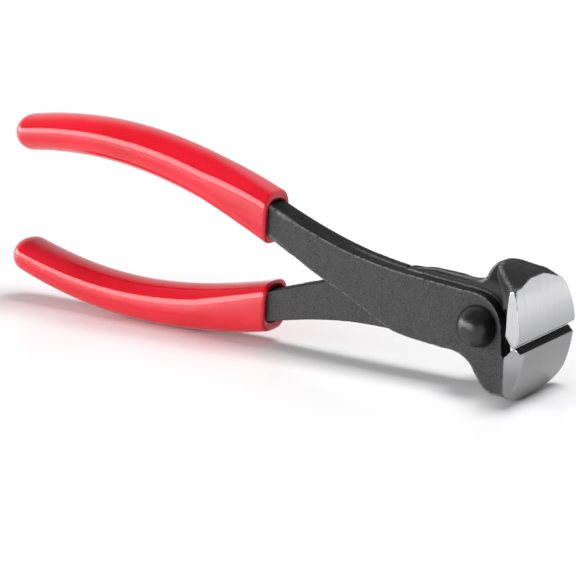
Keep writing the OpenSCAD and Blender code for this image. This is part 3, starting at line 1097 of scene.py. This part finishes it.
@dataclass
class Rivet(Piece):
    """The rivet: a shank and two domed heads, each with its forming tool's shallow flat."""

    shank_r: float = 3.5
    seat: float = 5.1
    head_r: float = 5.6
    rim_h: float = 0.55
    head_h: float = 5.5
    rim_middle: float = 0.5
    rim_steps: tuple[Pair, ...] = ((0.12, 0.08), (0.3, 0.0))
    shank_step: Pair = (0.3, 0.1)
    segments: int = 112
    steps: int = 40
    unevenness: Unevenness = Unevenness(31, 2.5, 6.0)
    uneven: float = 0.05
    uneven_rise: float = 1.0
    tool_way: Triple = (-0.16, 0.97, -0.2)
    tool_depth: float = 0.42
    tool_share: float = 0.85

    def profile(self) -> list[Pair]:
        """Half outline from one head's top to the other's.

        Returns:
            Pairs of radius and place along the rivet.
        """
        dome_h = self.head_h - self.rim_h
        dome_r = (self.head_r**2 + dome_h**2) / (2.0 * dome_h)
        centre = self.seat + self.head_h - dome_r
        start = math.asin(min(1.0, self.head_r / dome_r))
        half = []
        for i in range(1, self.steps + 1):
            a = start * i / self.steps
            half.append((dome_r * math.sin(a), centre + dome_r * math.cos(a)))
        half.append((self.head_r, self.seat + self.rim_h * self.rim_middle))
        half += [(self.head_r - inset, self.seat + rise) for inset, rise in self.rim_steps]
        half.append((self.shank_r + self.shank_step[0], self.seat))
        half.append((self.shank_r, self.seat - self.shank_step[1]))
        return half + [(r, -h) for r, h in reversed(half)]

    def build(self) -> bpy.types.Object:
        """Builds the dressed rivet.

        Returns:
            Its object.
        """
        turn = np.arange(self.segments) * FULL_TURN / self.segments
        rings = [
            np.stack([r * np.cos(turn), np.full_like(turn, h), r * np.sin(turn)], axis=1)
            for r, h in self.profile()
        ]
        top = np.array([[0.0, self.seat + self.head_h, 0.0]])
        points = self.press(np.concatenate([top, *rings, -top]))
        faces = [[f[0], *f[:0:-1]] for f in ring_faces(len(rings), self.segments)]
        mesh = bpy.data.meshes.new(self.name)
        mesh.from_pydata(STAND.to_row(points, Side.JAW_UP).tolist(), [], faces)
        mesh.update()
        return self.dress(mesh)

    def press(self, points: np.ndarray) -> np.ndarray:
        """Leaves the forming tool's flat and a little unevenness on both domes.

        Args:
            points: Even points.

        Returns:
            The pressed points.
        """
        out = points / np.linalg.norm(points, axis=1)[:, None]
        rim = self.seat + self.rim_h
        free = Span(rim, rim + self.uneven_rise).rise(np.abs(points[:, 1]))
        dents = self.uneven * free * (1 + self.unevenness.at(points)) / 2
        points = points - out * dents[:, None]
        for w in (-1.0, 1.0):
            way = np.array(self.tool_way) * (1.0, w, 1.0)
            way /= np.linalg.norm(way)
            over = points @ way - (self.seat + self.head_h - self.tool_depth)
            points = points - way * (np.maximum(over, 0.0) * self.tool_share)[:, None]
        return points


@dataclass
class Grip(Piece):
    """One moulded grip, swept along the bowed handle from a rolled rim to a rounded tip."""

    side: Side
    rim_back: float = 68.8
    rim_rise: float = 13.0
    tip_back: float = 167.0
    tip_rise: float = 18.3
    rim_slope: float = 0.33
    tip_slope: float = 0.24
    pull: float = 0.355
    height: Pair = (14.2, 10.3)
    thickness: Pair = (11.7, 13.5)
    middle: float = 1.1
    crest: float = 0.1
    belly: float = 0.38
    swell_power: int = 8
    squareness: Pair = (3.3, 2.1)
    cap_l: float = 5.4
    lip_t: float = 1.8
    lip_gain: float = 0.25
    rim_turn: float = 23.0
    mouth: tuple[Pair, ...] = (
        (5.0, 1.04), (4.0, 1.04), (2.9, 1.03), (2.0, 1.02), (1.4, 1.01),
    )
    bench_from: float = 1.5
    bench_run: float = 2.25
    bench_rise: float = 0.8
    around: int = 112
    along: int = 120
    cap_steps: int = 22
    lip_steps: int = 9

    def bow(self) -> np.ndarray:
        """Control points of the centreline, as rows of u, v."""
        run = self.pull * (self.tip_back - self.rim_back)
        return np.array([
            [-self.rim_back, -self.rim_rise],
            [-self.rim_back - run, -self.rim_rise - self.rim_slope * run],
            [-self.tip_back + run, -self.tip_rise - self.tip_slope * run],
            [-self.tip_back, -self.tip_rise],
        ])

    def length(self) -> float:
        """Straight length from rim to tip."""
        ends = self.bow()
        return float(np.linalg.norm(ends[3] - ends[0]))

    def rim_form(self, s: float) -> float:
        """Share of the rim's own form at a place: square to the tool, and squarer in section."""
        return max(0.0, 1.0 - s * self.length() / self.rim_turn)

    def place(self, s: float) -> tuple[np.ndarray, np.ndarray]:
        """Where the centreline is, and the direction across a ring there.

        Args:
            s: Share of the centreline from the rim.

        Returns:
            The place and the direction, as u and v.
        """
        p = self.bow()
        q = 1.0 - s
        at = q**3 * p[0] + 3 * q * q * s * p[1] + 3 * q * s * s * p[2] + s**3 * p[3]
        run = q * q * (p[1] - p[0]) + 2 * q * s * (p[2] - p[1]) + s * s * (p[3] - p[2])
        run /= np.linalg.norm(run)
        lean = self.rim_form(s) * run[1] / run[0]
        return at, np.array([-run[1], run[0]]) + lean * run

    def section(self, s: float) -> np.ndarray:
        """Outline of unit size, rounded square at the rim and rounder further back.

        Args:
            s: Share of the centreline from the rim.

        Returns:
            Rows across the bow and along the rivet.
        """
        at_rim, at_back = self.squareness
        power = at_back + (at_rim - at_back) * self.rim_form(s)
        a = np.arange(self.around) * FULL_TURN / self.around
        c, d = np.cos(a), np.sin(a)
        r = (np.abs(c) ** power + np.abs(d) ** power) ** (-1.0 / power)
        return np.stack([r * c, r * d], axis=1)

    def ring(self, s: float, inset: float, scale: float = 1.0) -> np.ndarray:
        """One ring of the surface.

        Args:
            s: Share of the centreline from the rim.
            inset: How far inside the outer skin it lies.
            scale: Share of the full section.

        Returns:
            Its flat points.
        """
        at, across = self.place(s)
        t = min(max(s, 0.0), 1.0)
        half, wide = ((a + (b - a) * t) / 2 * scale for a, b in (self.height, self.thickness))
        swell = 1.0 - (1.0 - t) ** self.swell_power
        half += self.belly * swell * scale - inset * (1.0 + self.lip_gain * inset)
        unit = self.section(s)
        flat = at + (half * unit[:, :1] - self.crest * self.side.value * swell) * across
        w = self.middle * (1.0 - s) + (wide - inset) * unit[:, 1]
        return np.stack([flat[:, 0], w, flat[:, 1]], axis=1)

    def rings(self) -> list[np.ndarray]:
        """All rings, from the bottom of the mouth over the lip to the tip.

        Returns:
            Rings of flat points.
        """
        run = 1.0 / self.length()
        roll = self.lip_t / 2
        first = roll * run
        last = 1.0 - self.cap_l * run
        made = [self.ring(depth * run, self.lip_t * share) for depth, share in self.mouth]
        for i in range(self.lip_steps * 2 + 1):
            a = math.pi / 2 * i / self.lip_steps
            made.append(self.ring((1.0 - math.sin(a)) * roll * run, roll * (1.0 + math.cos(a))))
        for i in range(1, self.along + 1):
            made.append(self.ring(first + (last - first) * i / self.along, 0.0))
        for i in range(1, self.cap_steps):
            a = math.pi / 2 * i / self.cap_steps
            made.append(self.ring(last + self.cap_l * run * math.sin(a), 0.0, math.cos(a)))
        return made

    def build(self) -> bpy.types.Object:
        """Builds the dressed grip.

        Returns:
            Its object.
        """
        rings = self.rings()
        floor = rings[0].mean(axis=0, keepdims=True)
        at, _ = self.place(1.0)
        tip = np.array([[at[0], 0.0, at[1]]])
        places = STAND.to_row(np.concatenate([floor, *rings, tip]), self.side)
        places[:, 2] = self.press(places[:, 2] / MM) * MM
        mesh = bpy.data.meshes.new(self.name)
        mesh.from_pydata(places.tolist(), [], ring_faces(len(rings), self.around))
        mesh.update()
        return self.dress(mesh)

    def press(self, heights: np.ndarray) -> np.ndarray:
        """Presses the underside a little flat where it rests on the bench."""
        low = np.maximum(self.bench_from - heights, 0.0) / self.bench_run
        return heights + self.bench_rise * low**2


@dataclass(frozen=True)
class Floor:
    """Pale floor, which keeps the shadow and is lifted to white where the eye sees it.

    Its radii and distances are in metres.
    """

    radii: tuple[float, ...] = (0.4, 1.2, 3.0)
    spokes: int = 96
    below: float = 0.00005
    colour: float = 0.94
    rough: float = 0.2
    gloss: float = 0.04
    along_tool: Triple = (0.3, 1.0, 1.0)
    lift: float = 0.5
    lift_out: Span = Span(0.015, 0.45)
    mirror_lift: float = 0.12

    def lay(self) -> None:
        """Lays the floor just under the tool."""
        points = [(0.0, 0.0, 0.0)]
        for r in self.radii:
            for i in range(self.spokes):
                a = FULL_TURN * i / self.spokes
                points.append((r * math.cos(a), r * math.sin(a), 0.0))
        mesh = bpy.data.meshes.new("floor")
        mesh.from_pydata(points, [], ring_faces(len(self.radii), self.spokes, closed=False))
        floor = finished("floor", mesh, self.material())
        floor.location.z = -self.below
        floor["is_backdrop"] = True

    def material(self) -> bpy.types.Material:
        """Builds the material.

        Returns:
            The finished material.
        """
        n = Nodes(bpy.data.materials.new("floor_white"))
        place = n.scaled(n.add("TexCoord").outputs["Object"], self.along_tool)
        away = n.add("VectorMath", {0: place}, operation="LENGTH").outputs["Value"]
        outer = n.stretch(away, self.lift_out, 0.0, self.lift)
        glossy = n.add("LightPath").outputs["Is Glossy Ray"]
        mirrored = n.math("MULTIPLY", glossy, self.mirror_lift)
        lift = n.math("MULTIPLY", n.seen(), n.math("MAXIMUM", outer, mirrored))
        base = n.add("BsdfPrincipled", {
            "Base Color": grey(self.colour),
            "Roughness": self.rough,
            "Specular IOR Level": self.gloss,
        })
        glow = n.add("Emission", {"Color": grey(1.0), "Strength": lift})
        both = n.add("AddShader", {0: base.outputs[0], 1: glow.outputs[0]})
        return n.surface(both.outputs[0])


@dataclass(frozen=True)
class Sky:
    """White backdrop under a darker ceiling for what mirrors it, and a fill for matt surfaces."""

    rear: Triple = (0.3, -1.0, 1.0)
    climb: float = 4.0
    horizon: float = 0.3
    darkening: Span = Span(-0.1, 1.0)
    ceiling: float = 0.12
    front: Triple = (-0.31, -0.75, 0.58)
    facing: Span = Span(0.4, 1.0)
    fill: float = 0.06
    front_fill: float = 0.5

    def light(self) -> None:
        """Lights the world."""
        world = bpy.data.worlds.new("studio")
        bpy.context.scene.world = world
        n = Nodes(world)
        way = n.add("TexCoord").outputs["Generated"]
        behind = n.add("VectorMath", {0: way, 1: self.rear}, operation="DOT_PRODUCT")
        above = n.math("MULTIPLY", n.add("SeparateXYZ", {0: way}).outputs["Z"], self.climb)
        low = n.math("SUBTRACT", above, self.horizon)
        height = n.math("MINIMUM", behind.outputs["Value"], low)
        smooth = {"interpolation_type": "SMOOTHSTEP"}
        sky = n.stretch(height, self.darkening, 1.0, self.ceiling, **smooth)
        sky = n.math("MAXIMUM", sky, n.add("LightPath").outputs["Is Camera Ray"])
        ahead = n.add("VectorMath", {0: way, 1: self.front}, operation="DOT_PRODUCT")
        brightest = self.fill + self.front_fill
        glow = n.stretch(ahead.outputs["Value"], self.facing, self.fill, brightest)
        level = n.blend(n.seen(), glow, sky)
        back = n.add("Background", {"Color": grey(1.0), "Strength": level})
        n.add("OutputWorld", {"Surface": back.outputs[0]})


@dataclass(frozen=True)
class Lamp:
    """A soft rectangular lamp, measured in metres. Its panel's brightness is 1 for white."""

    name: str
    place: Triple
    target: Triple
    size: Pair
    brightness: float
    mirrored: bool = True

    def hang(self) -> None:
        """Hangs the lamp, aimed at its target."""
        data = bpy.data.lights.new(self.name, "AREA")
        data.shape = "RECTANGLE"
        data.size, data.size_y = self.size
        data.energy = self.brightness * self.size[0] * self.size[1] * math.pi
        lamp = bpy.data.objects.new(self.name, data)
        lamp.location = self.place
        lamp.rotation_mode = "QUATERNION"
        aim = Vector(self.target) - Vector(self.place)
        lamp.rotation_quaternion = aim.to_track_quat("-Z", "Y")
        lamp.visible_glossy = self.mirrored
        bpy.context.scene.collection.objects.link(lamp)


@dataclass(frozen=True)
class Viewpoint:
    """The photograph's camera, with its turns in degrees and its clipping in metres."""

    eye: Triple = (314.1802, -411.2659, 149.8058)
    azimuth: float = 36.41241
    elevation: float = 14.50537
    roll: float = -0.44581
    lens: float = 117.7949
    sensor: float = 36.0
    clip: Pair = (0.01, 20.0)

    def stand_camera(self) -> None:
        """Stands the camera where the photograph was taken from."""
        a, e, roll = (math.radians(x) for x in (self.azimuth, self.elevation, self.roll))
        back = Vector((math.sin(a) * math.cos(e), -math.cos(a) * math.cos(e), math.sin(e)))
        level = Vector((math.cos(a), math.sin(a), 0.0))
        upright = back.cross(level)
        right = level * math.cos(roll) + upright * math.sin(roll)
        up = upright * math.cos(roll) - level * math.sin(roll)
        data = bpy.data.cameras.new("camera")
        data.lens, data.sensor_width = self.lens, self.sensor
        data.clip_start, data.clip_end = self.clip
        camera = bpy.data.objects.new("camera", data)
        turn = Matrix((right, up, back)).transposed().to_4x4()
        camera.matrix_world = Matrix.Translation(Vector(self.eye) * MM) @ turn
        bpy.context.scene.collection.objects.link(camera)
        bpy.context.scene.camera = camera


@dataclass(frozen=True)
class Studio:
    """Pale floor, plain soft lights and the photograph's camera."""

    floor: Floor = Floor()
    sky: Sky = Sky()
    strip: Lamp = Lamp("strip_light", (-0.72, -0.76, 0.2), (0.0, 0.0, 0.03), (2.2, 0.34), 6.0)
    top: Lamp = Lamp(
        "top_light", (0.25, 0.11, 1.02), (0.0, 0.0, 0.0), (0.44, 0.44), 14.0, mirrored=False,
    )
    viewpoint: Viewpoint = Viewpoint()

    def build(self) -> None:
        """Sets up floor, sky, lamps, camera and colour view."""
        self.floor.lay()
        self.sky.light()
        self.strip.hang()
        self.top.hang()
        self.viewpoint.stand_camera()
        bpy.context.scene.view_settings.view_transform = "Standard"
        LOG.info("studio ready")


def main() -> None:
    """Builds the tool and its studio."""
    logging.basicConfig(level=logging.INFO, format="%(name)s: %(message)s")
    cad_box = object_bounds()
    # The near forging's lower jaw gets darker ground greys than the far one's, as painted shade.
    Forging(
        "near_forging", "near_lever", "near_half", "forged_steel_near",
        ForgedSteel("forged_steel_near", ground=0.25, end=0.36, lip_shade=0.92),
        Side.JAW_DOWN, LOWER_HEAD, seed=11,
    ).build()
    Forging(
        "far_forging", "far_lever", "far_half", "forged_steel_far",
        ForgedSteel("forged_steel_far", shift=0.2), Side.JAW_UP, UPPER_HEAD, seed=12,
    ).build()
    Rivet("domed_rivet", "rivet", "near_half", "rivet_steel", RivetSteel("rivet_steel")).build()
    Grip(
        "upper_sleeve", "upper_grip", "near_half", "grip_upper", GripPlastic("grip_upper"),
        Side.JAW_DOWN,
    ).build()
    Grip(
        "lower_sleeve", "lower_grip", "far_half", "grip_lower", GripPlastic("grip_lower"),
        Side.JAW_UP,
    ).build()
    Studio().build()
    shown_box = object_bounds()
    for corner in (0, 1):
        cad, shown = tuple(cad_box[corner]), tuple(shown_box[corner])
        LOG.info("box corner %d: cad %s, shown %s", corner, cad, shown)


if __name__ == "__main__":
    main()
